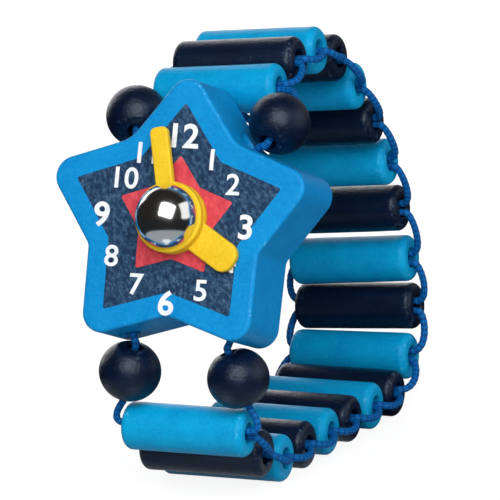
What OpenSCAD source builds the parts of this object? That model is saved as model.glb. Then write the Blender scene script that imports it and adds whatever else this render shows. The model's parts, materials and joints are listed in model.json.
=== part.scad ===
// Wooden toy watch: a star case with two turning hands, on an elastic bracelet of tubes.
// X runs across the wrist, Y from the dial to the back of the bracelet, and Z up from the table.

/* [Star case] */
// Radius of the star's points before they are rounded
star_tip_r = 19.6; // [18:0.1:22]
// Radius of the star's notches before they are rounded
star_notch_r = 12.3; // [11:0.1:13.5]
// Rounding of the star's points
star_tip_round = 2.6; // [1:0.1:3.5]
// Rounding of the two notches that hold the upper round beads
bead_notch_round = 4.5; // [2:0.1:5]
// Rounding of the other three notches
star_notch_round = 1.5; // [0.5:0.1:3]
// Thickness of the star
star_t = 10; // [8:0.1:13]
// Angle by which the star leans back
star_lean = 18.3; // [12:0.1:24]

/* [Hands and pin] */
// Reach of the minute hand from the pin's axis
minute_len = 11.6; // [9:0.1:14]
// Width of the minute hand
minute_w = 2.4; // [1.6:0.1:4]
// Rounding of the minute hand's corners
minute_round = 0.8; // [0.2:0.05:0.8]
// Direction of the minute hand, clockwise from 12
minute_angle = -13; // [-180:1:180]
// Reach of the hour hand from the pin's axis
hour_len = 10.4; // [8:0.1:13]
// Width of the hour hand
hour_w = 3.9; // [2.5:0.1:5]
// Rounding of the hour hand's corners
hour_round = 1.6; // [0.2:0.05:1.9]
// Direction of the hour hand, clockwise from 12
hour_angle = 121; // [-180:1:180]
// Diameter of each hand's hub
hub_d = 9.1; // [7.5:0.1:11]
// Thickness of each hand
hand_t = 1.1; // [0.8:0.05:2]
// Play under, between and over the hands
hand_play = 0.1; // [0.05:0.01:0.2]
// Diameter of the pin's shank
pin_d = 2; // [1.5:0.1:3]
// Radial clearance of the hands on the pin
pin_clearance = 0.05; // [0.02:0.01:0.1]
// Radial clearance of the pin in the star
pin_seat_clearance = 0.02; // [0.01:0.01:0.04]
// Depth to which the pin is driven into the star
pin_depth = 7; // [4:0.1:8]
// Diameter of the pin's dome head
dome_d = 8.2; // [5:0.1:9]

/* [Round beads] */
// Diameter of a round bead
bead_d = 8; // [7:0.1:9]
// Length of a round bead along its hole
bead_len = 7.4; // [6.4:0.1:7.6]
// Diameter of a round bead's hole
bead_bore = 2.2; // [1.8:0.1:2.6]
// Least gap between a round bead and the wood beside it
bead_gap = 0.3; // [0.2:0.05:0.6]
// Angle of the lower beads' link, from the star's plane towards the bracelet
lower_link_angle = 26; // [20:1:32]
// How far the upper beads sit behind the cord holes
upper_bead_set = 1.9; // [1:0.1:2.4]

/* [Bracelet] */
// Diameter of a tube
tube_d = 6.2; // [5.5:0.1:7]
// Length of a tube
tube_len = 16.8; // [15:0.1:19]
// Diameter of a tube's hole
tube_bore = 2.8; // [2.7:0.05:3.4]
// Rounding of a tube's ends
tube_round = 0.8; // [0.3:0.05:1.2]
// Bevel at the mouth of a tube's hole
tube_bevel = 0.2; // [0.1:0.05:0.4]
// Gap between the tubes that lie on the table
floor_gap = 1.4; // [0.8:0.1:2]
// Gap between the tubes where the bracelet bends
bend_gap = 0.4; // [0.3:0.05:0.6]
// Gap between the tubes of the sloping upper run
slope_gap = 1.5; // [1:0.1:2]
// Turn at each tube where the bracelet rises to the star
front_turn = 18; // [13:1:23]
// Turn at each tube over the top of the bracelet
crown_turn = 20; // [16:1:24]
// Gap between the first tube and the star's top point
first_tube_gap = 0.3; // [0.2:0.05:0.6]
// Angle of the first tube behind the star's top point, from straight up
first_tube_angle = 84; // [74:1:94]
// How far the first tube sits to the left of the star's middle
band_drift = 1.3; // [0:0.1:1.6]
// Angle by which the raised tubes lean, right end up
band_lean = 5; // [0:0.5:6]

/* [Cord] */
// Diameter of the elastic cord
cord_d = 1; // [0.8:0.05:1.1]
// Distance of each strand from the middle of a tube's hole
strand_r = 0.7; // [0.62:0.01:0.75]
// How far the cord stands out past the tubes' ends
cord_reach = 1.4; // [1.3:0.1:2]
// Distance between the star's two cord holes, as a share of the points' radius
cord_hole_spread = 0.735; // [0.66:0.005:0.79]
// Diameter of the star's cord holes
cord_hole_d = 3; // [2.6:0.1:3.4]
// Depth of the cord holes' axes behind the dial
cord_hole_depth = 5.5; // [4:0.1:6]
// Diameter of the knot that joins the cord's ends
knot_d = 2.4; // [1.8:0.1:2.5]
// Length of the knot along the hole
knot_len = 2; // [1.5:0.1:3]

/* [Hidden] */
$fn = 64;
corner_steps = 8;
cord_sides = 8;
strand_steps = 4;
loop_steps = 6;
least_flat = 0.1;

// Tubes are numbered from the star's top, over the bracelet's back, to the star's bottom
tube_count = 19;
crown_count = 3;
slope_count = 5;
back_count = 3;
floor_count = 5;
floor_first = 1 + crown_count + slope_count + back_count;
floor_last = floor_first + floor_count;
lean_count = 3;

function tube_name(i) = str("tube_", i < 10 ? "0" : "", i);

// Small helpers
function unit(v) = v / norm(v);
function filled(count, value) = [for (i = [1 : 1 : count]) value];
function total(list, count) = count == 0 ? 0 * list[0] : list[count - 1] + total(list, count - 1);
function polar(r, angle) = r * [cos(angle), sin(angle)];

// Star outline: five points and five notches, clockwise from the point at 12
function star_corner(k) = polar(k % 2 == 0 ? star_tip_r : star_notch_r, 90 - 36 * k);
function corner_round(k) =
    k % 2 == 0 ? star_tip_round : k == 1 || k == 9 ? bead_notch_round : star_notch_round;
function rounded_corner(before, at, after, r) =
    let (
        a = unit(before - at),
        b = unit(after - at),
        middle = unit(a + b),
        half = acos(a * b) / 2,
        centre = at + middle * r / sin(half),
        across = unit(b - a),
        sweep = 90 - half
    )
    [for (i = [0 : corner_steps])
        let (turn = sweep * (2 * i / corner_steps - 1))
        centre - r * (middle * cos(turn) - across * sin(turn))];
star_outline = [for (k = [0 : 9])
    each rounded_corner(star_corner(k + 9), star_corner(k), star_corner(k + 1), corner_round(k))];

// Places on the star: across to the right, up towards 12, and depth behind the dial
hole_x = star_tip_r * cord_hole_spread / 2;
notch = star_corner(1);
leg_slope = atan2(star_corner(5)[1] - star_corner(4)[1], star_corner(4)[0]);
leg_under_hole = star_corner(5)[1] - hole_x * tan(leg_slope);
link_len = bead_d / 2 + tube_d / 2 + bead_gap;

// Upper beads rest in the notches beside 12
notch_half = acos(unit(star_corner(0) - notch) * unit(star_corner(2) - notch)) / 2;
upper_bead_xz = notch + unit(notch) * (bead_d / 2 + bead_gap) / sin(notch_half);
upper_bead_depth = cord_hole_depth + upper_bead_set;

// Lower beads hang under the star's two legs
lower_seat = (bead_d / 2 + bead_gap) / (cos(leg_slope) * cos(lower_link_angle));
lower_bead_up = leg_under_hole - lower_seat * cos(lower_link_angle);
lower_bead_depth = cord_hole_depth + lower_seat * sin(lower_link_angle);

// First and last tube, as height and depth on the star
tip_half = acos(unit(star_corner(9) - star_corner(0)) * unit(notch - star_corner(0))) / 2;
tip_up = star_tip_r - star_tip_round * (1 / sin(tip_half) - 1);
first_tube_up = tip_up + (tube_d / 2 + first_tube_gap) * cos(first_tube_angle);
first_tube_depth = star_t + (tube_d / 2 + first_tube_gap) * sin(first_tube_angle);
last_tube_up = lower_bead_up - link_len * cos(lower_link_angle);
last_tube_depth = lower_bead_depth + link_len * sin(lower_link_angle);

// Side view of the star: depth in Y and height in Z from the dial's centre
function side_view(up, depth) = [
    up * sin(star_lean) + depth * cos(star_lean),
    up * cos(star_lean) - depth * sin(star_lean)
];

// Side view of the bracelet, measured from the front tube on the table
floor_pitch = tube_d + floor_gap;
bend_pitch = tube_d + bend_gap;
slope_pitch = tube_d + slope_gap;
floor_front = [0, tube_d / 2];
rise_1 = floor_front + polar(bend_pitch, 180 - front_turn);
rise_2 = rise_1 + polar(bend_pitch, 180 - 2 * front_turn);
dial_side = rise_2 - side_view(last_tube_up, last_tube_depth);
first_tube_side = dial_side + side_view(first_tube_up, first_tube_depth);

// The run from the table over the back to the first tube, for a turn at the back and on the slope
run_pitches = concat(
    filled(floor_count, floor_pitch), filled(back_count, bend_pitch),
    filled(slope_count, slope_pitch), filled(crown_count, bend_pitch)
);
function run_turns(bends) = concat(
    filled(floor_count, 0), filled(back_count, bends[0]),
    filled(slope_count, bends[1]), filled(crown_count, crown_turn)
);
function run_points(bends) =
    let (
        turns = run_turns(bends),
        steps = [for (i = [0 : len(turns) - 1]) polar(run_pitches[i], total(turns, i + 1))]
    )
    [for (i = [0 : len(steps)]) floor_front + total(steps, i)];
function run_miss(bends) = run_points(bends)[len(run_pitches)] - first_tube_side;

// The two turns are solved so that the bracelet closes on the star
first_guess = [34, 8];
solve_rounds = 8;
solve_step = 0.01;
function closed_bends(bends, rounds) =
    rounds == 0 ? bends :
    let (
        miss = run_miss(bends),
        by_back = (run_miss(bends + [solve_step, 0]) - miss) / solve_step,
        by_slope = (run_miss(bends + [0, solve_step]) - miss) / solve_step,
        det = by_back[0] * by_slope[1] - by_back[1] * by_slope[0],
        back = (miss[0] * by_slope[1] - miss[1] * by_slope[0]) / det,
        slope = (by_back[0] * miss[1] - by_back[1] * miss[0]) / det
    )
    closed_bends(bends - [back, slope], rounds - 1);
run = run_points(closed_bends(first_guess, solve_rounds));
tubes_side = concat([for (i = [1 : floor_last]) run[floor_last - i]], [rise_1, rise_2]);

// The whole watch stands centred on the origin
hands_top = 3 * hand_play + 2 * hand_t;
back_edge = max([for (p = tubes_side) p[0]]) + tube_d / 2;
front_edge = dial_side[0] - hands_top * cos(star_lean) - dome_d / 2;
centre_shift = -(back_edge + front_edge) / 2;
dial = [0, dial_side[0] + centre_shift, dial_side[1]];
function star_point(x, up, depth) =
    let (side = side_view(up, depth))
    dial + [x, side[0], side[1]];

// Each tube's middle, and the three directions at it
function tube_drift(i) = -band_drift * max((floor_first - i) / (floor_first - 1), 0);
function tube_at(i) = [tube_drift(i), tubes_side[i - 1][0] + centre_shift, tubes_side[i - 1][1]];
function tube_lean(i) = band_lean * min(max((floor_first - i) / lean_count, 0), 1);
function tube_axis(i) = [cos(tube_lean(i)), 0, sin(tube_lean(i))];
function tube_ahead(i) = unit(tube_at(min(i + 1, tube_count)) - tube_at(max(i - 1, 1)));

// Round beads: middle and direction of the hole, away from the star, on one side of the star
function top_bead_at(side) = star_point(side * upper_bead_xz[0], upper_bead_xz[1], upper_bead_depth);
function low_bead_at(side) = star_point(side * (hole_x + bead_drift), lower_bead_up, lower_bead_depth);
bead_drift = bead_gap;
function loop_place(i, side) = tube_at(i) + side * (tube_len / 2 + cord_reach) * tube_axis(i);
function top_bead_axis(side) = unit(loop_place(1, side) - hole_point(side, hole_top));
function low_bead_axis(side) = unit(loop_place(tube_count, side) - low_bead_at(side));

// One strand through a tube: a half turn round the hole, so that two strands pass each other
function strand_point(i, across, angle) =
    tube_at(i) + tube_axis(i) * across + strand_r * (
        tube_ahead(i) * cos(angle) + cross(tube_axis(i), tube_ahead(i)) * sin(angle)
    );
function entry_side(i, side) = i % 2 == 1 ? side : -side;
function strand(i, side) = [for (k = [0 : strand_steps])
    strand_point(
        i,
        entry_side(i, side) * tube_len / 2 * (1 - 2 * k / strand_steps),
        side * 180 * (1 - k / strand_steps)
    )];

// One loop of cord from a tube's end to the next tube's end
function loop(from, to, out) =
    let (middle = (from + to) / 2, half = (to - from) / 2)
    [for (k = [1 : loop_steps - 1])
        let (angle = 180 * k / loop_steps)
        middle - half * cos(angle) + out * sin(angle)];
function lacing(side) = [for (i = [1 : tube_count])
    each concat(
        strand(i, side),
        i == tube_count ? [] : loop(
            strand_point(i, -entry_side(i, side) * tube_len / 2, 0),
            strand_point(i + 1, -entry_side(i, side) * tube_len / 2, 180),
            -entry_side(i, side) * cord_reach * tube_axis(i)
        )
    )];

// The cord's bend from a round bead's hole into a tube's end
function bend(from, corner, to) = [for (k = [1 : loop_steps - 1])
    let (s = k / loop_steps)
    from * (1 - s) * (1 - s) + corner * 2 * s * (1 - s) + to * s * s];
turn_reach = 2 * cord_reach;
function bead_end(at, axis) = at + axis * (bead_len + cord_d) / 2;
function into_tube(at, axis, i, side, angle) =
    let (
        from = bead_end(at, axis),
        to = strand_point(i, side * tube_len / 2, angle),
        out = max(side * ((from - to) * tube_axis(i)), turn_reach)
    )
    concat([bead_end(at, -axis), at, from], bend(from, to + side * out * tube_axis(i), to));
function reversed(list) = [for (i = [len(list) - 1 : -1 : 0]) list[i]];

// The cord's way through the star, between the mouths of one hole
hole_top = notch[1];
hole_bottom = leg_under_hole;
knot_up = (hole_top + hole_bottom) / 2;
function hole_point(side, up) = star_point(side * hole_x, up, cord_hole_depth);
function out_of_star(side, mouth, inward, to) =
    let (from = hole_point(side, mouth + inward * cord_hole_d))
    concat([from], bend(from, hole_point(side, mouth - inward * cord_d / 2), to));
function up_to_band(side) = concat(
    out_of_star(side, hole_top, -1, bead_end(top_bead_at(side), -top_bead_axis(side))),
    into_tube(top_bead_at(side), top_bead_axis(side), 1, side, 180)
);
function down_from_band(side) = reversed(concat(
    out_of_star(side, hole_bottom, 1, bead_end(low_bead_at(side), -low_bead_axis(side))),
    into_tube(low_bead_at(side), low_bead_axis(side), tube_count, side, 0)
));
cord_route = concat(
    [hole_point(1, knot_up + knot_len / 2)],
    up_to_band(1), lacing(1), down_from_band(-1),
    up_to_band(-1), lacing(-1), down_from_band(1),
    [hole_point(1, knot_up - knot_len / 2)]
);

// A closed round tube along a list of points
module tube_along(points, d, sides) {
    last = len(points) - 1;
    ahead = [for (i = [0 : last]) unit(points[min(i + 1, last)] - points[max(i - 1, 0)])];
    function turned(side, along) = unit(side - along * (side * along));
    first_side = turned([1, 0.1, 0.2], ahead[0]);
    side = [for (i = 0, s = first_side; i <= last;
        i = i + 1, s = turned(s, ahead[min(i, last)])) s];
    ring = [for (i = [0 : last], k = [0 : sides - 1])
        points[i] + d / 2 * (
            side[i] * cos(360 * k / sides) + cross(ahead[i], side[i]) * sin(360 * k / sides)
        )];
    wall = [for (i = [0 : last - 1], k = [0 : sides - 1])
        let (
            a = i * sides + k,
            b = i * sides + (k + 1) % sides
        )
        each [[a, b + sides, b], [a, a + sides, b + sides]]];
    start_cap = [for (k = [0 : sides - 1]) k];
    end_cap = [for (k = [sides - 1 : -1 : 0]) last * sides + k];
    polyhedron(ring, concat(wall, [start_cap, end_cap]));
}

// Puts a piece that is drawn on the dial's plane, Y behind it, on the leaning star
module on_star() {
    translate(dial) rotate([-star_lean, 0, 0]) children();
}

// Lays a piece that is drawn along Z with its base at 0 so that it points at the viewer of the dial
module facing_out(depth) {
    translate([0, depth, 0]) rotate([90, 0, 0]) children();
}

// Points a piece that is drawn along Z in a given direction
module pointing(at, axis) {
    translate(at)
        rotate([0, acos(axis[2]), atan2(axis[1], axis[0])])
            children();
}

module star_case() {
    color("dodgerblue")
        on_star()
            difference() {
                facing_out(star_t) linear_extrude(star_t) polygon(star_outline);
                facing_out(pin_depth) cylinder(d = pin_d + 2 * pin_seat_clearance, h = 2 * pin_depth);
                for (side = [-1, 1])
                    translate([side * hole_x, cord_hole_depth, -star_tip_r])
                        cylinder(d = cord_hole_d, h = 2 * star_tip_r);
            }
}

module centre_pin() {
    color("silver")
        on_star()
            union() {
                facing_out(pin_depth) cylinder(d = pin_d, h = pin_depth + hands_top + pin_d / 2);
                facing_out(-hands_top)
                    intersection() {
                        sphere(d = dome_d);
                        cylinder(d = 2 * dome_d, h = dome_d);
                    }
            }
}

// A flat hand: a round hub and an arm with rounded corners
module hand(reach, w, end_round, angle, level) {
    corner = min(end_round, (w - least_flat) / 2);
    on_star()
        rotate([0, angle, 0])
            facing_out(-level)
                linear_extrude(hand_t)
                    difference() {
                        union() {
                            circle(d = hub_d);
                            translate([-w / 2, 0]) square([w, reach - corner]);
                            translate([corner - w / 2, 0]) square([w - 2 * corner, reach]);
                            for (side = [-1, 1])
                                translate([side * (w / 2 - corner), reach - corner]) circle(r = corner);
                        }
                        circle(d = pin_d + 2 * pin_clearance);
                    }
}

module hour_hand() {
    color("gold") hand(hour_len, hour_w, hour_round, hour_angle, hand_play);
}

module minute_hand() {
    color("gold") hand(minute_len, minute_w, minute_round, minute_angle, 2 * hand_play + hand_t);
}

// A round bead, a little shorter along its hole than it is wide
module round_bead(at, axis) {
    wall = (bead_d - bead_bore) / 2;
    arc_r = (bead_len * bead_len / 4 + wall * wall) / (2 * wall);
    color("midnightblue")
        pointing(at, axis)
            rotate_extrude()
                intersection() {
                    translate([bead_d / 2 - arc_r, 0]) circle(r = arc_r);
                    translate([bead_bore / 2, -bead_d / 2]) square([bead_d, bead_d]);
                }
}

module tube(i) {
    wall = (tube_d - tube_bore) / 2;
    color(i % 2 == 1 ? "deepskyblue" : "midnightblue")
        pointing(tube_at(i), tube_axis(i))
            difference() {
                rotate_extrude()
                    translate([tube_bore / 2, 0]) {
                        translate([0, -tube_len / 2]) square([wall - tube_round, tube_len]);
                        translate([0, tube_round - tube_len / 2]) square([wall, tube_len - 2 * tube_round]);
                        for (side = [-1, 1])
                            translate([wall - tube_round, side * (tube_len / 2 - tube_round)])
                                circle(r = tube_round);
                    }
                for (side = [0, 1])
                    mirror([0, 0, side])
                        translate([0, 0, tube_len / 2 - tube_bevel])
                            cylinder(d1 = tube_bore, d2 = tube_bore + 4 * tube_bevel, h = 2 * tube_bevel);
            }
}

module elastic_cord() {
    color("royalblue") tube_along(cord_route, cord_d, cord_sides);
}

// The knot is pulled into the right cord hole
module cord_knot() {
    swell = (knot_d - cord_d) / 2;
    arc_r = (knot_len * knot_len / 4 + swell * swell) / (2 * swell);
    color("royalblue")
        on_star()
            translate([hole_x, cord_hole_depth, knot_up])
                rotate_extrude()
                    intersection() {
                        translate([knot_d / 2 - arc_r, 0]) circle(r = arc_r);
                        translate([0, -knot_len / 2]) square([knot_d, knot_len]);
                    }
}

star_case();
centre_pin();
hour_hand();
minute_hand();
round_bead(top_bead_at(-1), top_bead_axis(-1));  // bead_top_left
round_bead(top_bead_at(1), top_bead_axis(1));  // bead_top_right
round_bead(low_bead_at(-1), low_bead_axis(-1));  // bead_bottom_left
round_bead(low_bead_at(1), low_bead_axis(1));  // bead_bottom_right
for (i = [1 : tube_count]) tube(i);
elastic_cord();
cord_knot();
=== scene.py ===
"""Wooden toy watch: a painted star with two hands, on a bracelet of tubes laced with elastic cord."""
import json
import math

import bmesh
import bpy
import numpy as np
from mathutils import Matrix, Vector, noise

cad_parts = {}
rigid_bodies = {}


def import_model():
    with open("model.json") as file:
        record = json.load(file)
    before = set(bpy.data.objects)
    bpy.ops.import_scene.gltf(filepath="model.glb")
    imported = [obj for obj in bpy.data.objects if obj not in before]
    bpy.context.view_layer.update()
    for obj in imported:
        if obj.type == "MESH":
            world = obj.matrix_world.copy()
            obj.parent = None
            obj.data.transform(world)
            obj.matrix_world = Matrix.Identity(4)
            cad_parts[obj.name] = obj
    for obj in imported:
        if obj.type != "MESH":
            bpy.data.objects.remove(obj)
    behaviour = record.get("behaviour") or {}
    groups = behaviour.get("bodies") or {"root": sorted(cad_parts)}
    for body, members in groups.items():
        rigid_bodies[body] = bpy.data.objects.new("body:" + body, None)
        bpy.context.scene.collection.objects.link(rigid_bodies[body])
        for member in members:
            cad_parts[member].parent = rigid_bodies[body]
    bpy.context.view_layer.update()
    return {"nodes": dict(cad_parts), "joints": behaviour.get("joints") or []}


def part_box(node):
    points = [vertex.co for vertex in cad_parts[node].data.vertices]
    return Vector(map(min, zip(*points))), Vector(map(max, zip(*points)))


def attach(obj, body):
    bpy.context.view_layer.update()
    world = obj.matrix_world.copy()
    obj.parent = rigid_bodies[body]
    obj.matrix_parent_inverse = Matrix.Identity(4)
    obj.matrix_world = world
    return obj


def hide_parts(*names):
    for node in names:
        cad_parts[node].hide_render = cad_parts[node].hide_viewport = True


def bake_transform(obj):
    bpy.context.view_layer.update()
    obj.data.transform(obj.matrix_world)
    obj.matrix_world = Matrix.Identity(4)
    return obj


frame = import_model()
joints = {joint["name"]: joint for joint in frame["joints"]}

# Star case, in metres
MM = 0.001
STAR_POINTS = 5
STAR_TIP_R = 19.6 * MM
STAR_NOTCH_R = 12.3 * MM
STAR_TIP_ROUND = 2.6 * MM
STAR_NOTCH_ROUND = 1.5 * MM
BEAD_NOTCH_ROUND = 4.5 * MM
STAR_T = 10 * MM
STAR_EDGE = 0.45 * MM
CORD_HOLE_X = 7.203 * MM
CORD_HOLE_D = 3 * MM
CORD_HOLE_DEPTH = 5.5 * MM

# Print on the dial
DARK_STAR_TIP_R = 14.8 * MM
RED_STAR_TIP_R = 8.1 * MM
PRINT_NOTCH_SHARE = 0.63
PRINT_ROUND = 0.25 * MM
PRINT_T = 0.03 * MM
PRINT_EDGE = PRINT_T / 3
PRINT_HOLE_PLAY = 0.1 * MM
DARK_PRINT_LEVEL = 0.0
RED_PRINT_LEVEL = DARK_PRINT_LEVEL + PRINT_T
NUMERAL_LEVEL = RED_PRINT_LEVEL + PRINT_T
QUARTERS = (3, 6, 9, 12)
# Millimetres from the dial's middle: to the right, and towards 12
NUMERAL_PLACES = {
    1: (4.3, 7.6), 2: (7.5, 4.6), 3: (9.8, -0.7), 4: (8, -5.2), 5: (4.5, -9), 6: (-0.1, -10.9),
    7: (-4.5, -8.7), 8: (-8.2, -5.3), 9: (-10.1, -0.1), 10: (-7.5, 4.7), 11: (-4.7, 8), 12: (0, 10.4),
}
NUMERAL_WIDEN = 1.07
QUARTER_SIZE = 4.25 * MM
HOUR_SIZE = 3.75 * MM
QUARTER_WEIGHT = 0.1 * MM
HOUR_WEIGHT = 0.06 * MM
WELD_DISTANCE = 0.001 * MM

# Hands and pin, with angles in degrees clockwise from 12
HUB_D = 9.1 * MM
HAND_T = 1.1 * MM
HAND_PLAY = 0.1 * MM
HAND_EDGE = 0.28 * MM
HAND_BORE = 2.1 * MM
MINUTE_HAND = {"reach": 11.6 * MM, "w": 2.4 * MM, "corner": 0.8 * MM, "angle": -13}
HOUR_HAND = {"reach": 10.4 * MM, "w": 3.9 * MM, "corner": 1.6 * MM, "angle": 121}
PIN_D = 2 * MM
PIN_DEPTH = 7 * MM
PIN_SEAT = 0.02 * MM
PIN_AXIS_R = 0.02 * MM
PIN_CHAMFER_R = 0.3 * MM
PIN_CHAMFER_LEN = 0.5 * MM
DOME_D = 8.2 * MM
DOME_LIP = 0.12 * MM
DOME_END_ANGLE = 89.6

# Round beads and tubes: wear goes from 0, whole paint, to 1
BEAD_D = 8 * MM
BEAD_LEN = 7.4 * MM
BEAD_BORE = 2.2 * MM
BEAD_MOUTH_ROUND = 0.35 * MM
BEAD_MOUTH_DEPTH = 0.6 * MM
BEAD_LIP_IN = 0.9
BEAD_LIP_OUT = 0.6
BEAD_WEAR_FROM = 0.36 * BEAD_LEN
BEAD_WEAR_OVER = 0.14 * BEAD_LEN
BEAD_UNEVEN = 0.03 * MM
BEAD_SEED = 5.3
TUBE_COUNT = 19
TUBE_D = 6.2 * MM
TUBE_LEN = 16.8 * MM
TUBE_BORE = 2.8 * MM
TUBE_ROUND = 0.9 * MM
TUBE_MOUTH = 0.2 * MM
TUBE_RING_SHARES = (0, 0.2, 0.4, 0.6, 0.75)
TUBE_WEAR_START = 1.3 * TUBE_ROUND
TUBE_SIDE_WEAR = 0.25
TUBE_END_WEAR = 0.7
TUBE_BORE_WEAR = 0.2
TUBE_UNEVEN = 0.05 * MM
TUBE_SEED = 1.7
UNEVEN_GRAIN = 4 * MM

# Elastic cord
SIDES = ((-1, "left"), (1, "right"))
CORD_D = 1 * MM
STRAND_R = 0.7 * MM
CORD_REACH = 1.3 * MM
CORD_STUB = 2.6 * MM
CORD_SAG = 0.5 * MM
CORD_OVERLAP = 0.3 * MM
KNOT_D = 2.4 * MM
KNOT_LEN = 2 * MM
KNOT_OPEN = 0.2
TOP_MOUTH_UP = 9.95 * MM
BOTTOM_MOUTH_UP = -13.79 * MM
BRAID_STRANDS = 4
BRAID_PITCH = 1.5 * MM
BRAID_RISE = 0.08
FIRST_CORD_SIDE = Vector((0.3, 0.5, 0.8))

# Mesh detail: sides round an axis, steps along a bend, and ring distances
HOLE_SIDES = 40
BORE_SIDES = 32
DOME_SIDES = 96
BEAD_SIDES = 64
TUBE_SIDES = 56
CORD_SIDES = 16
STAR_CORNER_STEPS = 10
PRINT_CORNER_STEPS = 4
RIM_STEPS = 6
PRINT_RIM_STEPS = 2
NUMERAL_STEPS = 6
HAND_CORNER_STEPS = 8
HUB_STEPS = 48
DOME_STEPS = 40
BEAD_STEPS = 36
BEAD_MOUTH_STEPS = 5
TUBE_ROUND_STEPS = 8
TUBE_MOUTH_STEPS = 4
LOOP_STEPS = 28
CURVE_STEPS = 24
STRAND_STEPS = 24
KNOT_STEPS = 12
LEAST_CORD_STEPS = 4
RING_SPACING = 0.16 * MM
HIDDEN_SPACING = 0.4 * MM
LEAST_SPREAD = 0.3
NEARLY_ALONG = 0.9
SHARP_ANGLE = 40
BEAD_SHARP_ANGLE = 60
TUBE_SHARP_ANGLE = 50
CORD_SHARP_ANGLE = 80

# Surfaces: a noise is (features per millimetre, detail, roughness), a range is (from, to)
WHITE = (1, 1, 1, 1)
EVEN = (1, 1, 1)
WOOD_STRETCH = (6, 1, 1)
CLOUD_NOISE = (0.28, 5, 0.55)
CLOUD_RANGE = (0.35, 0.68)
STREAK_NOISE = (1.4, 6, 0.55)
STREAK_RANGE = (0.35, 0.7)
STREAK_SHARE = 0.35
SPECK_NOISE = (2.3, 5, 0.7)
SPECK_RANGE = (0.42, 0.62)
SPECK_SHARE = 0.4
CHIP_NOISE = (1.6, 6, 0.7)
CHIP_EDGE = 0.05
GLOSS_NOISE = (1.1, 5, 0.55)
GLOSS_RANGE = (0.3, 0.7)
GRAIN_NOISE = (2.6, 8, 0.6)
DIMPLE_NOISE = (2.2, 6, 0.6)
DIMPLE_SHARE = 0.5
PAINT_RELIEF = 0.16 * MM
COAT_ROUGHNESS = 0.12

INK_ROUGHNESS = 0.5
INK_GLOSS = 0.2
INK_GRAIN = (6, 0.65)
INK_SPECK = (5, 0.7)
INK_SPECK_SCALE = 1.6
INK_RANGE = (0.38, 0.56)
PALE_GRAIN_RANGE = (0.5, 0.66)
PALE_SPECK_RANGE = (0.4, 0.62)
INK_BUMP = 0.3
INK_RELIEF = 0.05 * MM

CHROME_COLOUR = (0.82, 0.81, 0.8, 1)
CHROME_ROUGHNESS = (0.12, 0.17)
SMEAR_NOISE = (0.9, 5, 0.55)
SMEAR_RANGE = (0.35, 0.7)

CORD_ROUGHNESS = 0.6
CORD_GLOSS = 0.12
THREAD_NOISE = (4.5, 4, 0.6)
THREAD_RANGE = (0.35, 0.65)
# Painted shade of the braid's valleys: the braid height over which the dark colour fades out
BRAID_SHADE_RANGE = (0.15, 0.6)
THREAD_BUMP = 0.5
THREAD_RELIEF = 0.06 * MM

# Inputs and output of the mix node, whose sockets share their names
MIX_SOCKETS = {"RGBA": (6, 7, 2), "FLOAT": (2, 3, 0)}

# Photograph: its camera, in the frame's axes
PHOTO_SIZE = 500
PHOTO_FOCAL_PX = 8000
SENSOR = 36
CAMERA_CLIP = 0.01
CAMERA_FROM_DIAL = Vector((402.9, -902.1, 206)) * MM
CAMERA_RIGHT = Vector((0.9189, 0.3934, -0.0283))
CAMERA_BACK = Vector((0.3904, -0.8968, 0.2082))

# Studio: light powers in watts, and brightness where 1 is white
SOFTBOX_AWAY = 0.5
SOFTBOX_SIZE = (0.46, 0.46)
SOFTBOX_ROLL = 18
KEY_FROM = (-0.02, 0.39, 0.92)
KEY_POWER = 3.2
SIDE_FROM = (0.94, 0.275, 0.21)
SIDE_POWER = 0.7
BACK_FROM = (-0.35, 0.4, -0.85)
BACK_POWER = 1.3
STUDIO_COLOUR = (1, 0.95, 0.9, 1)
STUDIO_DARK = 0.02
STUDIO_DIM = 0.04
STUDIO_BEHIND = 0.25
STUDIO_BEHIND_RANGE = (0.4, 0.9)
FLOOR_HALF = 3
FLOOR_ROUGHNESS = 0.6
FLOOR_GLOW = 1.12
FLOOR_GLOW_SHARE = 0.8
FLOOR_NEAR = 80 * MM
FLOOR_FAR = 220 * MM
FLOOR_PALE = (0.9, 0.9, 0.9, 1)
FLOOR_DIM = (0.5, 0.5, 0.5, 1)
# Painted reflection: how far round the foot, and how brightly, the floor glows in mirrors
MIRRORED_FLOOR = 44 * MM
MIRRORED_EDGE = 3 * MM
MIRRORED_GLOW = 0.42
MIRRORED_SPOT_R = 9 * MM
MIRRORED_SPOT_CORE = 0.6
MIRRORED_SPOT_GLOW = 1.1
MIRRORED_COLOUR = (0.82, 0.92, 1, 1)


def colour(red, green, blue):
    """A colour as seen on screen, 0 to 255, as a shader colour."""
    def linear(value):
        value = value / 255
        return value / 12.92 if value <= 0.04045 else ((value + 0.055) / 1.055) ** 2.4
    return (linear(red), linear(green), linear(blue), 1)


# Places that come from the frame
def turn_to(x, y, z):
    """The turn that takes the X, Y and Z axes to these directions."""
    return Matrix((x, y, z)).transposed().to_4x4()


dial = Vector(joints["hour_turn"]["pos_m"])
dial_out = Vector(joints["hour_turn"]["axis"]).normalized()
star_right = Vector((1, 0, 0))
star_up = dial_out.cross(star_right)
DIAL_FRAME = Matrix.Translation(dial) @ turn_to(star_right, star_up, dial_out)


def on_star(x, up, out):
    """A point on the star: to the right, towards 12 and out of the dial."""
    return DIAL_FRAME @ Vector((x, up, out))


def tube_name(number):
    return f"tube_{number:02d}"


def tube_middle(number):
    low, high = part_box(tube_name(number))
    return (low + high) / 2


def tube_axis(number):
    """Direction of a tube's hole, to the right."""
    points = np.array([v.co for v in frame["nodes"][tube_name(number)].data.vertices])
    axis = Vector(np.linalg.svd(points - points.mean(0), full_matrices=False)[2][0])
    return axis if axis.x > 0 else -axis


tube_at = {i: tube_middle(i) for i in range(1, TUBE_COUNT + 1)}
tube_along = {i: tube_axis(i) for i in range(1, TUBE_COUNT + 1)}


def bead_place(level, side):
    joint = joints[f"bead_{level}_{side}_spin"]
    return Vector(joint["pos_m"]), Vector(joint["axis"]).normalized()


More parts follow.
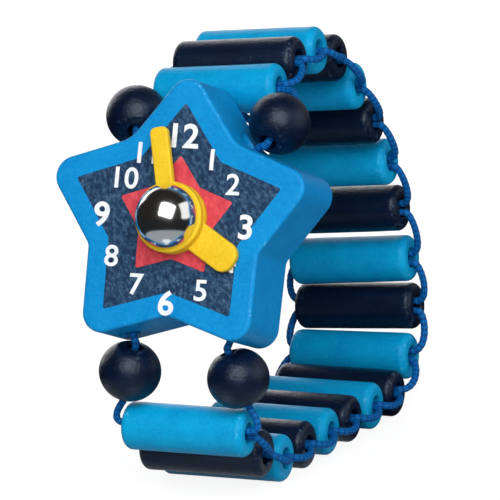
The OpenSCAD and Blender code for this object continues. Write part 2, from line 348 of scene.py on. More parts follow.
# Mesh helpers
def add_object(name, data):
    made = bpy.data.objects.new(name, data)
    bpy.context.scene.collection.objects.link(made)
    return made


def evaluated_mesh(thing):
    """A mesh of an object as its modifiers or its text leave it."""
    bpy.context.view_layer.update()
    return bpy.data.meshes.new_from_object(thing.evaluated_get(bpy.context.evaluated_depsgraph_get()))


def finish_piece(name, bm, material, body, replaces=(), sharp_angle=SHARP_ANGLE):
    """Turns a mesh in the frame's axes into a piece that rides on a body."""
    mesh = bpy.data.meshes.new(name)
    bmesh.ops.recalc_face_normals(bm, faces=bm.faces)
    bm.to_mesh(mesh)
    bm.free()
    mesh.materials.append(material)
    mesh.shade_smooth()
    mesh.set_sharp_from_angle(angle=math.radians(sharp_angle))
    piece = add_object(name, mesh)
    if body:
        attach(piece, body)
    if replaces:
        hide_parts(*replaces)
    return piece


def add_weighted_normals(piece):
    modifier = piece.modifiers.new("weighted_normals", "WEIGHTED_NORMAL")
    modifier.keep_sharp = True


def rounded_corner(before, at, after, radius, steps):
    towards_before = (before - at).normalized()
    towards_after = (after - at).normalized()
    middle = (towards_before + towards_after).normalized()
    across = (towards_after - towards_before).normalized()
    half = towards_before.angle(towards_after) / 2
    centre = at + middle * radius / math.sin(half)
    sweep = math.pi / 2 - half
    turns = [sweep * (2 * k / steps - 1) for k in range(steps + 1)]
    return [centre - radius * (middle * math.cos(t) - across * math.sin(t)) for t in turns]


def star_outline(tip_r, notch_r, tip_round, notch_rounds, steps):
    """Points of a rounded star, anticlockwise from the point at 12."""
    count = 2 * STAR_POINTS
    corners = []
    for k in range(count):
        angle = math.radians(90 + 360 * k / count)
        radius = tip_r if k % 2 == 0 else notch_r
        corners.append(Vector((radius * math.cos(angle), radius * math.sin(angle))))
    points = []
    for k in range(count):
        radius = tip_round if k % 2 == 0 else notch_rounds[k // 2]
        points += rounded_corner(corners[k - 1], corners[k], corners[(k + 1) % count], radius, steps)
    return points


def hole_outline(radius):
    """A circle that runs clockwise, as the holes of a plate do."""
    angles = [-2 * math.pi * k / BORE_SIDES for k in range(BORE_SIDES)]
    return [Vector((radius * math.cos(a), radius * math.sin(a))) for a in angles]


def inset(loop, distance):
    """Moves an outline towards its left side."""
    moved = []
    for k, point in enumerate(loop):
        ahead = (loop[(k + 1) % len(loop)] - point).normalized()
        behind = (point - loop[k - 1]).normalized()
        side = Vector((-ahead.y - behind.y, ahead.x + behind.x)).normalized()
        spread = max(LEAST_SPREAD, side.dot(Vector((-ahead.y, ahead.x))))
        moved.append(point + side * distance / spread)
    return moved


def join_rings(bm, rings):
    """Makes the faces between each ring of points and the next."""
    for lower, upper in zip(rings, rings[1:]):
        for k in range(len(lower)):
            after = (k + 1) % len(lower)
            bm.faces.new((lower[k], lower[after], upper[after], upper[k]))


def plate_mesh(loops, low, high, edge, rim_steps=RIM_STEPS):
    """A flat plate with rounded rims: the first outline runs anticlockwise, and holes run clockwise."""
    bm = bmesh.new()
    wear = bm.verts.layers.float.new("wear")
    turns = [math.pi / 2 * k / rim_steps for k in range(rim_steps + 1)]
    rim = [(edge * (1 - math.sin(t)), low + edge * (1 - math.cos(t))) for t in turns]
    rim += [(edge * (1 - math.cos(t)), high - edge * (1 - math.sin(t))) for t in turns]
    ends = [[], []]
    for loop in loops:
        rings = []
        for step, (depth, level) in enumerate(rim):
            ring = [bm.verts.new((p.x, p.y, level)) for p in inset(loop, depth)]
            place = step if step <= rim_steps else step - rim_steps - 1
            for vert in ring:
                vert[wear] = math.sin(math.pi * place / rim_steps)
            rings.append(ring)
        join_rings(bm, rings)
        for end, ring in zip(ends, (rings[0], rings[-1])):
            end += [bm.edges.get((ring[k - 1], ring[k])) for k in range(len(ring))]
    for end in ends:
        bmesh.ops.triangle_fill(bm, use_beauty=True, edges=end)
    return bm


def axis_frame(centre, axis):
    """A frame whose Z runs along the axis."""
    across = Vector((0, 1, 0)) if abs(axis.y) < NEARLY_ALONG else Vector((1, 0, 0))
    side = across.cross(axis).normalized()
    return Matrix.Translation(centre) @ turn_to(side, axis.cross(side), axis)


def arc_profile(centre, radius, start, end, steps, wear=0.0):
    """Points of a profile's arc as (distance from the axis, distance along it, wear)."""
    angles = [math.radians(start + (end - start) * k / steps) for k in range(steps + 1)]
    return [(centre[0] + radius * math.cos(a), centre[1] + radius * math.sin(a), wear) for a in angles]


def lathe_mesh(profile, place, steps, uneven=0.0, seed=0.0):
    """A closed turned piece, with a slightly uneven surface."""
    bm = bmesh.new()
    wear = bm.verts.layers.float.new("wear")
    shift = Vector((seed, 2 * seed, 3 * seed))
    rings = []
    for radius, along, worn in profile:
        ring = []
        for k in range(steps):
            angle = 2 * math.pi * k / steps
            direction = Vector((math.cos(angle), math.sin(angle), 0))
            spot = direction * radius + Vector((0, 0, along))
            dip = (1 + noise.noise(spot / UNEVEN_GRAIN + shift)) / 2
            vert = bm.verts.new(place @ (spot - direction * uneven * dip))
            vert[wear] = worn
            ring.append(vert)
        rings.append(ring)
    join_rings(bm, rings + rings[:1])
    return bm


def even_points(points, spacing):
    """The same line with evenly spaced points."""
    line = np.array([list(p) for p in points])
    lengths = np.concatenate([[0], np.cumsum(np.linalg.norm(np.diff(line, axis=0), axis=1))])
    count = max(LEAST_CORD_STEPS, int(round(lengths[-1] / spacing)))
    marks = np.linspace(0, lengths[-1], count + 1)
    return [Vector([np.interp(m, lengths, line[:, k]) for k in range(3)]) for m in marks]


def cord_mesh(points, spacing):
    """A round braided cord along a line."""
    line = even_points(points, spacing)
    bm = bmesh.new()
    braid_shade = bm.verts.layers.float.new("braid_shade")
    side = FIRST_CORD_SIDE
    rings = []
    for k, point in enumerate(line):
        ahead = (line[min(k + 1, len(line) - 1)] - line[max(k - 1, 0)]).normalized()
        side = (side - ahead * side.dot(ahead)).normalized()
        other = ahead.cross(side)
        travel = 2 * math.pi * k * spacing / BRAID_PITCH
        ring = []
        for j in range(CORD_SIDES):
            angle = 2 * math.pi * j / CORD_SIDES
            left = math.cos(BRAID_STRANDS * angle + travel)
            right = math.cos(BRAID_STRANDS * angle - travel)
            radius = CORD_D / 2 * (1 - BRAID_RISE + BRAID_RISE * left * right)
            vert = bm.verts.new(point + radius * (side * math.cos(angle) + other * math.sin(angle)))
            # The braid's height, 0 in a valley and 1 on a ridge, which sets the painted shade in the valleys
            vert[braid_shade] = (1 + left * right) / 2
            ring.append(vert)
        rings.append(ring)
    join_rings(bm, rings)
    bm.faces.new(rings[0])
    bm.faces.new(rings[-1])
    return bm


# Material helpers
def feed(tree, socket, value):
    """Links an input to another node's output, or gives it a plain value."""
    if isinstance(value, bpy.types.NodeSocket):
        tree.links.new(value, socket)
    else:
        socket.default_value = value


def add_node(tree, kind, inputs=None, **settings):
    node = tree.nodes.new(kind)
    for name, value in settings.items():
        setattr(node, name, value)
    for name, value in (inputs or {}).items():
        feed(tree, node.inputs[name], value)
    return node


def new_material(name, **inputs):
    material = bpy.data.materials.new(name)
    material.use_nodes = True
    shader = material.node_tree.nodes["Principled BSDF"]
    for socket, value in inputs.items():
        shader.inputs[socket.replace("_", " ")].default_value = value
    return material, material.node_tree, shader


def stretched_place(tree, stretch, angle=0.0):
    """Object coordinates in millimetres, turned about Y and drawn out along some axes."""
    coordinates = add_node(tree, "ShaderNodeTexCoord")
    turned = add_node(
        tree, "ShaderNodeMapping",
        {"Vector": coordinates.outputs["Object"], "Rotation": (0, math.radians(angle), 0)},
    )
    drawn = add_node(
        tree, "ShaderNodeMapping",
        {"Vector": turned.outputs["Vector"], "Scale": [1 / MM / s for s in stretch]},
    )
    return drawn.outputs["Vector"]


def noise_value(tree, place, scale, detail, roughness):
    node = add_node(
        tree, "ShaderNodeTexNoise",
        {"Vector": place, "Scale": scale, "Detail": detail, "Roughness": roughness},
    )
    return node.outputs["Fac"]


def remap(tree, value, low, high, to_low=0.0, to_high=1.0):
    node = add_node(
        tree, "ShaderNodeMapRange",
        {"Value": value, "From Min": low, "From Max": high, "To Min": to_low, "To Max": to_high},
    )
    return node.outputs["Result"]


def calculate(tree, operation, first, second):
    node = add_node(tree, "ShaderNodeMath", operation=operation)
    for socket, value in zip(node.inputs, (first, second)):
        feed(tree, socket, value)
    return node.outputs["Value"]


def multiply(tree, first, second):
    return calculate(tree, "MULTIPLY", first, second)


def mixed(tree, factor, first, second, data_type="RGBA"):
    """Goes from the first colour or number to the second as the factor goes from 0 to 1."""
    node = add_node(tree, "ShaderNodeMix", data_type=data_type)
    first_input, second_input, output = MIX_SOCKETS[data_type]
    feed(tree, node.inputs[0], factor)
    feed(tree, node.inputs[first_input], first)
    feed(tree, node.inputs[second_input], second)
    return node.outputs[output]


def mixed_shader(tree, factor, first, second):
    node = add_node(tree, "ShaderNodeMixShader")
    for socket, value in zip(node.inputs, (factor, first, second)):
        feed(tree, socket, value)
    return node.outputs["Shader"]


def add_bump(tree, shader, height, strength, distance):
    bump = add_node(tree, "ShaderNodeBump", {"Height": height, "Strength": strength, "Distance": distance})
    tree.links.new(bump.outputs["Normal"], shader.inputs["Normal"])
    tree.links.new(bump.outputs["Normal"], shader.inputs["Coat Normal"])


def painted_wood(name, paint, shade, fleck, chip, chips, roughness=(0.3, 0.45), gloss=0.12,
                 tint=WHITE, coat=0.0, bump=0.6, grain=0.35):
    """Satin paint on wood: thick and thin places, grain under it, and bare chips on worn edges."""
    material, tree, shader = new_material(
        name, Specular_IOR_Level=gloss, Specular_Tint=tint, Coat_Weight=coat, Coat_Roughness=COAT_ROUGHNESS
    )
    even = stretched_place(tree, EVEN)
    drawn = stretched_place(tree, WOOD_STRETCH)
    cloud = remap(tree, noise_value(tree, even, *CLOUD_NOISE), *CLOUD_RANGE)
    streak = remap(tree, noise_value(tree, drawn, *STREAK_NOISE), *STREAK_RANGE)
    speck = remap(tree, noise_value(tree, even, *SPECK_NOISE), *SPECK_RANGE)
    base = mixed(tree, cloud, paint, shade)
    streaked = mixed(tree, multiply(tree, streak, STREAK_SHARE), base, shade)
    specked = mixed(tree, multiply(tree, speck, SPECK_SHARE), streaked, fleck)
    worn = add_node(tree, "ShaderNodeAttribute", attribute_name="wear").outputs["Fac"]
    flakes = remap(tree, noise_value(tree, even, *CHIP_NOISE), chips, chips + CHIP_EDGE)
    bare = multiply(tree, worn, flakes)
    tree.links.new(mixed(tree, bare, specked, chip), shader.inputs["Base Color"])
    rough = remap(tree, noise_value(tree, even, *GLOSS_NOISE), *GLOSS_RANGE, *roughness)
    tree.links.new(rough, shader.inputs["Roughness"])
    fibres = multiply(tree, noise_value(tree, drawn, *GRAIN_NOISE), grain)
    dimples = multiply(tree, noise_value(tree, even, *DIMPLE_NOISE), DIMPLE_SHARE)
    add_bump(tree, shader, calculate(tree, "ADD", fibres, dimples), bump, PAINT_RELIEF)
    return material


def printed_ink(name, ink, dark, pale, pale_share, stretch, scale, angle=0.0):
    """Ink printed on painted wood, with the grain showing through as streaks."""
    material, tree, shader = new_material(name, Roughness=INK_ROUGHNESS, Specular_IOR_Level=INK_GLOSS)
    grain = noise_value(tree, stretched_place(tree, stretch, angle), scale, *INK_GRAIN)
    speck = noise_value(tree, stretched_place(tree, EVEN), scale * INK_SPECK_SCALE, *INK_SPECK)
    inked = mixed(tree, remap(tree, grain, *INK_RANGE), dark, ink)
    pale_place = multiply(tree, remap(tree, grain, *PALE_GRAIN_RANGE), remap(tree, speck, *PALE_SPECK_RANGE))
    tinted = mixed(tree, multiply(tree, pale_place, pale_share), inked, pale)
    tree.links.new(tinted, shader.inputs["Base Color"])
    add_bump(tree, shader, grain, INK_BUMP, INK_RELIEF)
    return material


def chrome_metal():
    material, tree, shader = new_material("chrome", Metallic=1.0, Base_Color=CHROME_COLOUR)
    smear = noise_value(tree, stretched_place(tree, EVEN), *SMEAR_NOISE)
    tree.links.new(remap(tree, smear, *SMEAR_RANGE, *CHROME_ROUGHNESS), shader.inputs["Roughness"])
    return material


def braided_cord(dark, middle, pale):
    """Braided elastic: fine threads with a soft sheen, and painted shade that darkens the valleys between
    the braid's strands.
    """
    material, tree, shader = new_material(
        "elastic_cord", Roughness=CORD_ROUGHNESS, Specular_IOR_Level=CORD_GLOSS
    )
    threads = noise_value(tree, stretched_place(tree, EVEN), *THREAD_NOISE)
    braid_shade_mask = add_node(tree, "ShaderNodeAttribute", attribute_name="braid_shade").outputs["Fac"]
    tone = mixed(tree, remap(tree, threads, *THREAD_RANGE), middle, pale)
    # Painted shade: the dark colour fills the valleys of the braid, where its strands dip
    shaded = mixed(tree, remap(tree, braid_shade_mask, *BRAID_SHADE_RANGE), dark, tone)
    tree.links.new(shaded, shader.inputs["Base Color"])
    add_bump(tree, shader, threads, THREAD_BUMP, THREAD_RELIEF)
    return material


STAR_BLUE = painted_wood(
    "star_blue", paint=colour(8, 144, 212), shade=colour(4, 130, 200), fleck=colour(30, 158, 222),
    chip=colour(90, 180, 226), chips=0.6,
)
LIGHT_BLUE = painted_wood(
    "light_blue", paint=colour(4, 164, 218), shade=colour(2, 146, 204), fleck=colour(20, 176, 226),
    chip=colour(90, 190, 228), chips=0.6,
)
DARK_BLUE = painted_wood(
    "dark_blue", paint=colour(4, 18, 46), shade=colour(2, 10, 30), fleck=colour(9, 26, 56),
    chip=colour(64, 80, 104), chips=0.58, roughness=(0.34, 0.52), gloss=0.3, tint=(0.5, 0.76, 1, 1),
    coat=0.28, bump=0.9,
)
YELLOW = painted_wood(
    "yellow", paint=colour(240, 200, 40), shade=colour(230, 184, 26), fleck=colour(246, 212, 70),
    chip=colour(255, 236, 150), chips=0.7, grain=0.2,
)
DARK_INK = printed_ink(
    "dark_ink", ink=colour(34, 70, 104), dark=colour(20, 44, 74), pale=colour(100, 128, 156),
    pale_share=0.8, stretch=(0.9, 1, 1.5), scale=2, angle=28,
)
RED_INK = printed_ink(
    "red_ink", ink=colour(216, 74, 84), dark=colour(196, 60, 74), pale=colour(236, 112, 118),
    pale_share=0.45, stretch=(0.9, 1, 1.6), scale=1.1, angle=20,
)
WHITE_INK = printed_ink(
    "white_ink", ink=colour(244, 248, 250), dark=colour(226, 234, 240), pale=colour(255, 255, 255),
    pale_share=0.4, stretch=EVEN, scale=1.4,
)
CHROME = chrome_metal()
# The dark colour is painted shade for the valleys of the braid
CORD = braided_cord(dark=colour(2, 54, 112), middle=colour(4, 88, 158), pale=colour(8, 116, 192))


# Star case
def drill(piece, start, along, diameter, depth):
    """Cuts a round hole into a piece."""
    bm = bmesh.new()
    bmesh.ops.create_cone(
        bm, cap_ends=True, segments=HOLE_SIDES, radius1=diameter / 2, radius2=diameter / 2,
        depth=depth, matrix=axis_frame(start + along * depth / 2, along),
    )
    mesh = bpy.data.meshes.new("drill")
    bm.to_mesh(mesh)
    bm.free()
    cutter = add_object("drill", mesh)
    modifier = piece.modifiers.new("hole", "BOOLEAN")
    modifier.object = cutter
    modifier.operation = "DIFFERENCE"
    modifier.solver = "EXACT"
    drilled = evaluated_mesh(piece)
    piece.modifiers.clear()
    piece.data = drilled
    bpy.data.objects.remove(cutter)


def make_star():
    plain_notches = [STAR_NOTCH_ROUND] * (STAR_POINTS - 2)
    notch_rounds = [BEAD_NOTCH_ROUND] + plain_notches + [BEAD_NOTCH_ROUND]
    outline = star_outline(STAR_TIP_R, STAR_NOTCH_R, STAR_TIP_ROUND, notch_rounds, STAR_CORNER_STEPS)
    bm = plate_mesh([outline], -STAR_T, 0, STAR_EDGE)
    bmesh.ops.transform(bm, matrix=DIAL_FRAME, verts=bm.verts)
    piece = finish_piece("star", bm, STAR_BLUE, "case", ["star_case"])
    for side, _ in SIDES:
        below = on_star(side * CORD_HOLE_X, -STAR_TIP_R, -CORD_HOLE_DEPTH)
        drill(piece, below, star_up, CORD_HOLE_D, 2 * STAR_TIP_R)
    drill(piece, dial + dial_out * PIN_D, -dial_out, PIN_D + 2 * PIN_SEAT, PIN_D + PIN_DEPTH + PIN_SEAT)
    add_weighted_normals(piece)


def make_printed_stars():
    hole = hole_outline(PIN_D / 2 + PRINT_HOLE_PLAY)
    rounds = [PRINT_ROUND] * STAR_POINTS
    for name, tip_r, level, material in (
        ("dark_star_print", DARK_STAR_TIP_R, DARK_PRINT_LEVEL, DARK_INK),
        ("red_star_print", RED_STAR_TIP_R, RED_PRINT_LEVEL, RED_INK),
    ):
        outline = star_outline(tip_r, tip_r * PRINT_NOTCH_SHARE, PRINT_ROUND, rounds, PRINT_CORNER_STEPS)
        bm = plate_mesh([outline, hole], level, level + PRINT_T, PRINT_EDGE, PRINT_RIM_STEPS)
        bmesh.ops.transform(bm, matrix=DIAL_FRAME, verts=bm.verts)
        add_weighted_normals(finish_piece(name, bm, material, "case"))


def make_numerals():
    for hour, (x, up) in NUMERAL_PLACES.items():
        quarter = hour in QUARTERS
        text = bpy.data.curves.new(f"numeral_{hour}", "FONT")
        text.body = str(hour)
        text.align_x = "CENTER"
        text.align_y = "CENTER"
        text.size = QUARTER_SIZE if quarter else HOUR_SIZE
        text.offset = QUARTER_WEIGHT if quarter else HOUR_WEIGHT
        text.extrude = PRINT_T / 2
        text.resolution_u = NUMERAL_STEPS
        maker = add_object(f"numeral_{hour}_text", text)
        mesh = evaluated_mesh(maker)
        bpy.data.objects.remove(maker)
        bm = bmesh.new()
        bm.from_mesh(mesh)
        bmesh.ops.remove_doubles(bm, verts=bm.verts, dist=WELD_DISTANCE)
        spot = Vector((x * MM, up * MM, NUMERAL_LEVEL + PRINT_T / 2))
        place = DIAL_FRAME @ Matrix.Translation(spot) @ Matrix.Diagonal((NUMERAL_WIDEN, 1, 1, 1))
        bmesh.ops.transform(bm, matrix=place, verts=bm.verts)
        finish_piece(f"numeral_{hour:02d}", bm, WHITE_INK, "case")


# Hands and pin
def hand_outline(reach, w, corner, angle):
    """A round hub and an arm with rounded corners, turned clockwise from 12."""
    half = math.asin(w / HUB_D)
    foot = HUB_D / 2 * math.cos(half)
    points = [Vector((w / 2, foot))]
    for side in (1, -1):
        centre = Vector((side * (w / 2 - corner), reach - corner))
        start = 0 if side == 1 else math.pi / 2
        for k in range(HAND_CORNER_STEPS + 1):
            turn = start + math.pi / 2 * k / HAND_CORNER_STEPS
            points.append(centre + corner * Vector((math.cos(turn), math.sin(turn))))
    points.append(Vector((-w / 2, foot)))
    for k in range(1, HUB_STEPS):
        turn = math.pi / 2 + half + (2 * math.pi - 2 * half) * k / HUB_STEPS
        points.append(HUB_D / 2 * Vector((math.cos(turn), math.sin(turn))))
    turned = Matrix.Rotation(math.radians(-angle), 2)
    return [turned @ p for p in points]


def make_hand(name, shape, level):
    loops = [hand_outline(**shape), hole_outline(HAND_BORE / 2)]
    bm = plate_mesh(loops, level, level + HAND_T, HAND_EDGE)
    bmesh.ops.transform(bm, matrix=DIAL_FRAME, verts=bm.verts)
    add_weighted_normals(finish_piece(f"{name}_painted", bm, YELLOW, name, [name]))


def make_pin():
    base = 2 * HAND_T + 3 * HAND_PLAY
    lip_angle = math.degrees(DOME_LIP / DOME_D * 2)
    profile = [
        (PIN_AXIS_R, -PIN_DEPTH, 0),
        (PIN_D / 2 - PIN_CHAMFER_R, -PIN_DEPTH, 0),
        (PIN_D / 2, -PIN_DEPTH + PIN_CHAMFER_LEN, 0),
        (PIN_D / 2, base, 0),
        (DOME_D / 2 - DOME_LIP, base, 0),
    ]
    profile += arc_profile((0, base), DOME_D / 2, lip_angle, DOME_END_ANGLE, DOME_STEPS)
    bm = lathe_mesh(profile, DIAL_FRAME, DOME_SIDES)
    finish_piece("chrome_pin", bm, CHROME, "case", ["centre_pin"])


# Round beads and tubes
def make_bead(level, side, seed):
    wall = (BEAD_D - BEAD_BORE) / 2
    curve_r = (BEAD_LEN ** 2 / 4 + wall ** 2) / (2 * wall)
    mouth = BEAD_BORE / 2
    top = BEAD_LEN / 2 - BEAD_MOUTH_ROUND
    reach = math.degrees(math.asin(top / curve_r))
    profile = []
    for radius, along, _ in arc_profile((BEAD_D / 2 - curve_r, 0), curve_r, -reach, reach, BEAD_STEPS):
        rim = max(0, (abs(along) - BEAD_WEAR_FROM) / BEAD_WEAR_OVER)
        profile.append((radius, along, min(1, rim)))
    lip = []
    for k in range(1, BEAD_MOUTH_STEPS + 1):
        turn = math.pi / 2 * k / BEAD_MOUTH_STEPS
        wider = BEAD_MOUTH_ROUND * (1 - math.sin(turn)) * BEAD_LIP_IN
        further = BEAD_MOUTH_ROUND * BEAD_LIP_OUT * math.sin(turn * 2)
        lip.append((mouth + wider, top + further, 1))
    profile += lip
    profile += [(mouth, along, 0) for along in (top - BEAD_MOUTH_DEPTH, 0, -top + BEAD_MOUTH_DEPTH)]
    profile += [(radius, -along, worn) for radius, along, worn in reversed(lip)]
    node = f"bead_{level}_{side}"
    bm = lathe_mesh(profile, axis_frame(*bead_place(level, side)), BEAD_SIDES, BEAD_UNEVEN, seed)
    finish_piece(f"{node}_painted", bm, DARK_BLUE, node, [node], BEAD_SHARP_ANGLE)


def make_tube(number):
    outer = TUBE_D / 2
    end = TUBE_LEN / 2
    mouth = TUBE_BORE / 2
    rim = (outer - TUBE_ROUND, end - TUBE_ROUND)
    lip = (mouth + TUBE_MOUTH, end - TUBE_MOUTH)
    half = [(outer, end * share, 0.0) for share in TUBE_RING_SHARES]
    half.append((outer, end - TUBE_WEAR_START, TUBE_SIDE_WEAR))
    half += arc_profile(rim, TUBE_ROUND, 0, 90, TUBE_ROUND_STEPS, 1.0)
    half.append((mouth + 2 * TUBE_MOUTH, end, TUBE_END_WEAR))
    half += arc_profile(lip, TUBE_MOUTH, 90, 180, TUBE_MOUTH_STEPS, 1.0)
    half += [(mouth, end - 3 * TUBE_MOUTH, TUBE_BORE_WEAR), (mouth, end / 2, 0), (mouth, 0, 0)]
    other = [(r, -along, worn) for r, along, worn in half[1:-1]]
    profile = half + other[::-1]
    name = tube_name(number)
    place = axis_frame(tube_at[number], tube_along[number])
    bm = lathe_mesh(profile, place, TUBE_SIDES, TUBE_UNEVEN, TUBE_SEED * number)
    light = number % 2 == 1
    material = LIGHT_BLUE if light else DARK_BLUE
    finish_piece(f"{name}_painted", bm, material, name, [name], TUBE_SHARP_ANGLE)


# Elastic cord
def cord_piece(name, points, body=None, spacing=RING_SPACING):
    bm = cord_mesh(points, spacing)
    return finish_piece(name, bm, CORD, body, sharp_angle=CORD_SHARP_ANGLE)


def curve_through(start, corner, end):
    """A bend from start to end that heads for the corner."""
    shares = [k / CURVE_STEPS for k in range(CURVE_STEPS + 1)]
    return [start * (1 - s) ** 2 + corner * 2 * s * (1 - s) + end * s ** 2 for s in shares]


def tube_end(number, side, ahead):
    """The start of a strand's visible part inside a tube, where it leaves, and the way out."""
    along = tube_along[number] * side
    spot = tube_at[number] + along * (TUBE_LEN / 2) + ahead * STRAND_R
    return spot - along * CORD_STUB, spot, along


def make_loops():
    """One loop of cord at each end of each pair of neighbouring tubes."""
    for number in range(1, TUBE_COUNT):
        follower = number + 1
        ahead = (tube_at[follower] - tube_at[number]).normalized()
        for side, side_name in SIDES:
            first_in, first, out = tube_end(number, side, ahead)
            last_in, last, last_out = tube_end(follower, side, -ahead)
            middle = (first + last) / 2
            half = (last - first) / 2
            points = [first_in]
            for k in range(LOOP_STEPS + 1):
                turn = math.pi * k / LOOP_STEPS
                droop = Vector((0, 0, -CORD_SAG * math.sin(turn) ** 2))
                reach = (out + last_out).normalized() * CORD_REACH * math.sin(turn)
                points.append(middle - half * math.cos(turn) + reach + droop)
            points.append(last_in)
            name = f"cord_loop_{number:02d}_{side_name}"
            bodies = (tube_name(number), tube_name(follower))
            joined = any({j["parent"], j["child"]} == set(bodies) for j in frame["joints"])
            if joined:
                piece = cord_piece(name, points)
                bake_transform(piece)
            else:
                piece = cord_piece(name, points, bodies[0])
            if number == 1 and side == -1:
                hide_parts("elastic_cord")


def make_star_cords():
    """The cord from the star's holes, through the round beads and into the first and last tube."""
    for level, number, neighbour, mouth_up, inward in (
        ("top", 1, 2, TOP_MOUTH_UP, -1),
        ("bottom", TUBE_COUNT, TUBE_COUNT - 1, BOTTOM_MOUTH_UP, 1),
    ):
        ahead = (tube_at[neighbour] - tube_at[number]).normalized()
        for side, side_name in SIDES:
            bead, axis = bead_place(level, side_name)
            near = bead - axis * (BEAD_LEN + CORD_D) / 2
            far = bead + axis * (BEAD_LEN + CORD_D) / 2
            hidden = on_star(side * CORD_HOLE_X, mouth_up + inward * CORD_HOLE_D, -CORD_HOLE_DEPTH)
            corner = on_star(side * CORD_HOLE_X, mouth_up - inward * CORD_D / 2, -CORD_HOLE_DEPTH)
            points = curve_through(hidden, corner, near) + [bead]
            cord_piece(f"cord_star_{level}_{side_name}", points, "case")
            inside, leaves, out = tube_end(number, side, -ahead)
            reach = max((far - leaves).dot(out), 2 * CORD_REACH)
            points = [bead] + curve_through(far, leaves + out * reach, leaves) + [inside]
            piece = cord_piece(f"cord_bead_{level}_{side_name}", points)
            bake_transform(piece)


def make_hidden_cords():
    """The strands inside the tubes, two to a tube and wound round each other, and those inside the star."""
    half = TUBE_LEN / 2 - CORD_STUB + CORD_OVERLAP
    for number in range(1, TUBE_COUNT + 1):
        before = max(number - 1, 1)
        after = min(number + 1, TUBE_COUNT)
        along = tube_along[number]
        behind = -(tube_at[before + 1] - tube_at[before]).normalized()
        ahead = (tube_at[after] - tube_at[after - 1]).normalized()
        turn = math.atan2(along.dot(behind.cross(ahead)), behind.dot(ahead)) % (2 * math.pi)
        for order, start, sweep in (("first", behind, turn), ("second", ahead, 2 * math.pi - turn)):
            points = []
            for k in range(STRAND_STEPS + 1):
                share = k / STRAND_STEPS
                offset = Matrix.Rotation(sweep * share, 3, along) @ start * STRAND_R
                points.append(tube_at[number] + along * half * (2 * share - 1) + offset)
            cord_piece(f"cord_strand_{number:02d}_{order}", points, tube_name(number), HIDDEN_SPACING)
    low = BOTTOM_MOUTH_UP + CORD_HOLE_D - CORD_OVERLAP
    high = TOP_MOUTH_UP - CORD_HOLE_D + CORD_OVERLAP
    for side, side_name in SIDES:
        ends = [on_star(side * CORD_HOLE_X, up, -CORD_HOLE_DEPTH) for up in (low, high)]
        cord_piece(f"cord_star_inside_{side_name}", ends, "case", HIDDEN_SPACING)


def make_knot():
    low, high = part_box("cord_knot")
    turns = [math.pi * (k + KNOT_OPEN) / (KNOT_STEPS + 2 * KNOT_OPEN) for k in range(KNOT_STEPS + 1)]
    profile = [(KNOT_D / 2 * math.sin(t), -KNOT_LEN / 2 * math.cos(t), 0) for t in turns]
    profile += [(CORD_D / 4, KNOT_LEN / 4, 0), (CORD_D / 4, -KNOT_LEN / 4, 0)]
    bm = lathe_mesh(profile, axis_frame((low + high) / 2, star_up), CORD_SIDES)
    finish_piece("cord_knot_tied", bm, CORD, "case", ["cord_knot"])


# Camera, light and floor
def make_camera():
    """Places the camera as the photograph has it, and gives its right, up and back."""
    lens = bpy.data.cameras.new("camera")
    lens.sensor_width = SENSOR
    lens.lens = PHOTO_FOCAL_PX / PHOTO_SIZE * SENSOR
    lens.clip_start = CAMERA_CLIP
    camera = add_object("camera", lens)
    back = CAMERA_BACK.normalized()
    right = (CAMERA_RIGHT - back * CAMERA_RIGHT.dot(back)).normalized()
    up = back.cross(right)
    camera.matrix_world = Matrix.Translation(dial + CAMERA_FROM_DIAL) @ turn_to(right, up, back)
    bpy.context.scene.camera = camera
    return right, up, back


def make_softbox(name, view, direction, power):
    """A square light that faces the dial, placed by the camera's right, up and back."""
    lamp = bpy.data.lights.new(name, "AREA")
    lamp.shape = "RECTANGLE"
    lamp.size, lamp.size_y = SOFTBOX_SIZE
    lamp.energy = power
    light = add_object(name, lamp)
    out = sum((axis * share for axis, share in zip(view, direction)), Vector()).normalized()
    side = Vector((0, 0, 1)).cross(out).normalized()
    roll = Matrix.Rotation(math.radians(-SOFTBOX_ROLL), 4, "Z")
    place = Matrix.Translation(dial + out * SOFTBOX_AWAY)
    light.matrix_world = place @ turn_to(side, out.cross(side), out) @ roll


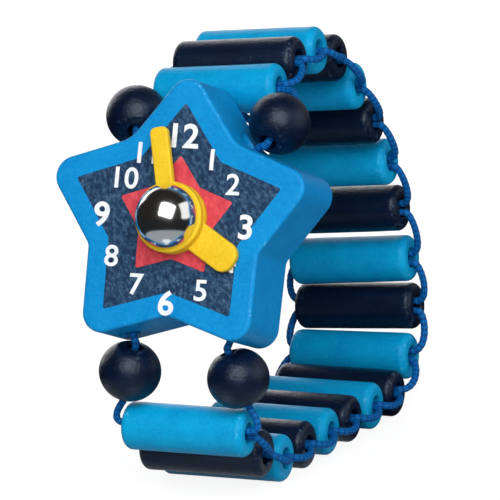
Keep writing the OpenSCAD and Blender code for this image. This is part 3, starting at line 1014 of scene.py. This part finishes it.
def make_floor():
    """A pale floor: white to the camera, and dark in mirrors beyond the watch's own foot; near the foot it
    glows only in mirrors, a painted reflection with a bright spot below the dome.
    """
    bm = bmesh.new()
    bmesh.ops.create_grid(bm, x_segments=1, y_segments=1, size=FLOOR_HALF)
    material, tree, shader = new_material("pale_floor", Roughness=FLOOR_ROUGHNESS)
    light_path = add_node(tree, "ShaderNodeLightPath")
    by_camera = light_path.outputs["Is Camera Ray"]
    tree.links.new(mixed(tree, by_camera, FLOOR_DIM, FLOOR_PALE), shader.inputs["Base Color"])
    place = add_node(tree, "ShaderNodeTexCoord")
    distance = add_node(tree, "ShaderNodeVectorMath", operation="DISTANCE")
    feed(tree, distance.inputs[0], place.outputs["Object"])
    feed(tree, distance.inputs[1], (dial.x, dial.y - DOME_D, 0))
    away = distance.outputs["Value"]
    # Painted reflection: the floor glows for mirror rays alone, faintly round the foot and brightly in a
    # spot below the dome
    near = remap(tree, away, MIRRORED_FLOOR + MIRRORED_EDGE, MIRRORED_FLOOR)
    foot = remap(tree, near, 0, 1, STUDIO_DARK, MIRRORED_GLOW)
    spot = remap(tree, away, MIRRORED_SPOT_R, MIRRORED_SPOT_CORE * MIRRORED_SPOT_R, 0, MIRRORED_SPOT_GLOW)
    mirrored_glow = calculate(tree, "MAXIMUM", foot, spot)
    mirrored = add_node(tree, "ShaderNodeEmission", {"Color": MIRRORED_COLOUR, "Strength": mirrored_glow})
    glow = add_node(tree, "ShaderNodeEmission", {"Color": WHITE, "Strength": FLOOR_GLOW})
    in_mirror = mixed_shader(
        tree, light_path.outputs["Is Glossy Ray"], shader.outputs["BSDF"], mirrored.outputs["Emission"]
    )
    glow_share = remap(tree, away, FLOOR_NEAR, FLOOR_FAR, FLOOR_GLOW_SHARE, 1)
    seen = mixed_shader(tree, multiply(tree, by_camera, glow_share), in_mirror, glow.outputs["Emission"])
    tree.links.new(seen, tree.nodes["Material Output"].inputs["Surface"])
    floor = finish_piece("floor", bm, material, None)


def make_world():
    """White to the camera, dim on all sides, and in mirrors dark in front and bright far behind."""
    world = bpy.data.worlds.new("studio")
    bpy.context.scene.world = world
    world.use_nodes = True
    tree = world.node_tree
    background = tree.nodes["Background"]
    place = add_node(tree, "ShaderNodeTexCoord")
    split = add_node(tree, "ShaderNodeSeparateXYZ", {"Vector": place.outputs["Generated"]})
    behind = remap(tree, split.outputs["Y"], *STUDIO_BEHIND_RANGE, STUDIO_DARK, STUDIO_BEHIND)
    light_path = add_node(tree, "ShaderNodeLightPath")
    by_mirror = light_path.outputs["Is Glossy Ray"]
    strength = mixed(tree, by_mirror, STUDIO_DIM, behind, "FLOAT")
    seen = mixed(tree, light_path.outputs["Is Camera Ray"], strength, 1.0, "FLOAT")
    tree.links.new(seen, background.inputs["Strength"])
    tree.links.new(mixed(tree, by_mirror, WHITE, STUDIO_COLOUR), background.inputs["Color"])


make_star()
make_printed_stars()
make_numerals()
make_hand("hour_hand", HOUR_HAND, HAND_PLAY)
make_hand("minute_hand", MINUTE_HAND, 2 * HAND_PLAY + HAND_T)
make_pin()
for bead_number, (bead_level, bead_side) in enumerate(
    (("top", "left"), ("top", "right"), ("bottom", "left"), ("bottom", "right"))
):
    make_bead(bead_level, bead_side, BEAD_SEED * bead_number)
for tube_number in range(1, TUBE_COUNT + 1):
    make_tube(tube_number)
make_loops()
make_star_cords()
make_hidden_cords()
make_knot()

camera_axes = make_camera()
make_softbox("key_softbox", camera_axes, KEY_FROM, KEY_POWER)
make_softbox("side_softbox", camera_axes, SIDE_FROM, SIDE_POWER)
make_softbox("back_softbox", camera_axes, BACK_FROM, BACK_POWER)
make_floor()
make_world()
bpy.context.scene.view_settings.view_transform = "Standard"
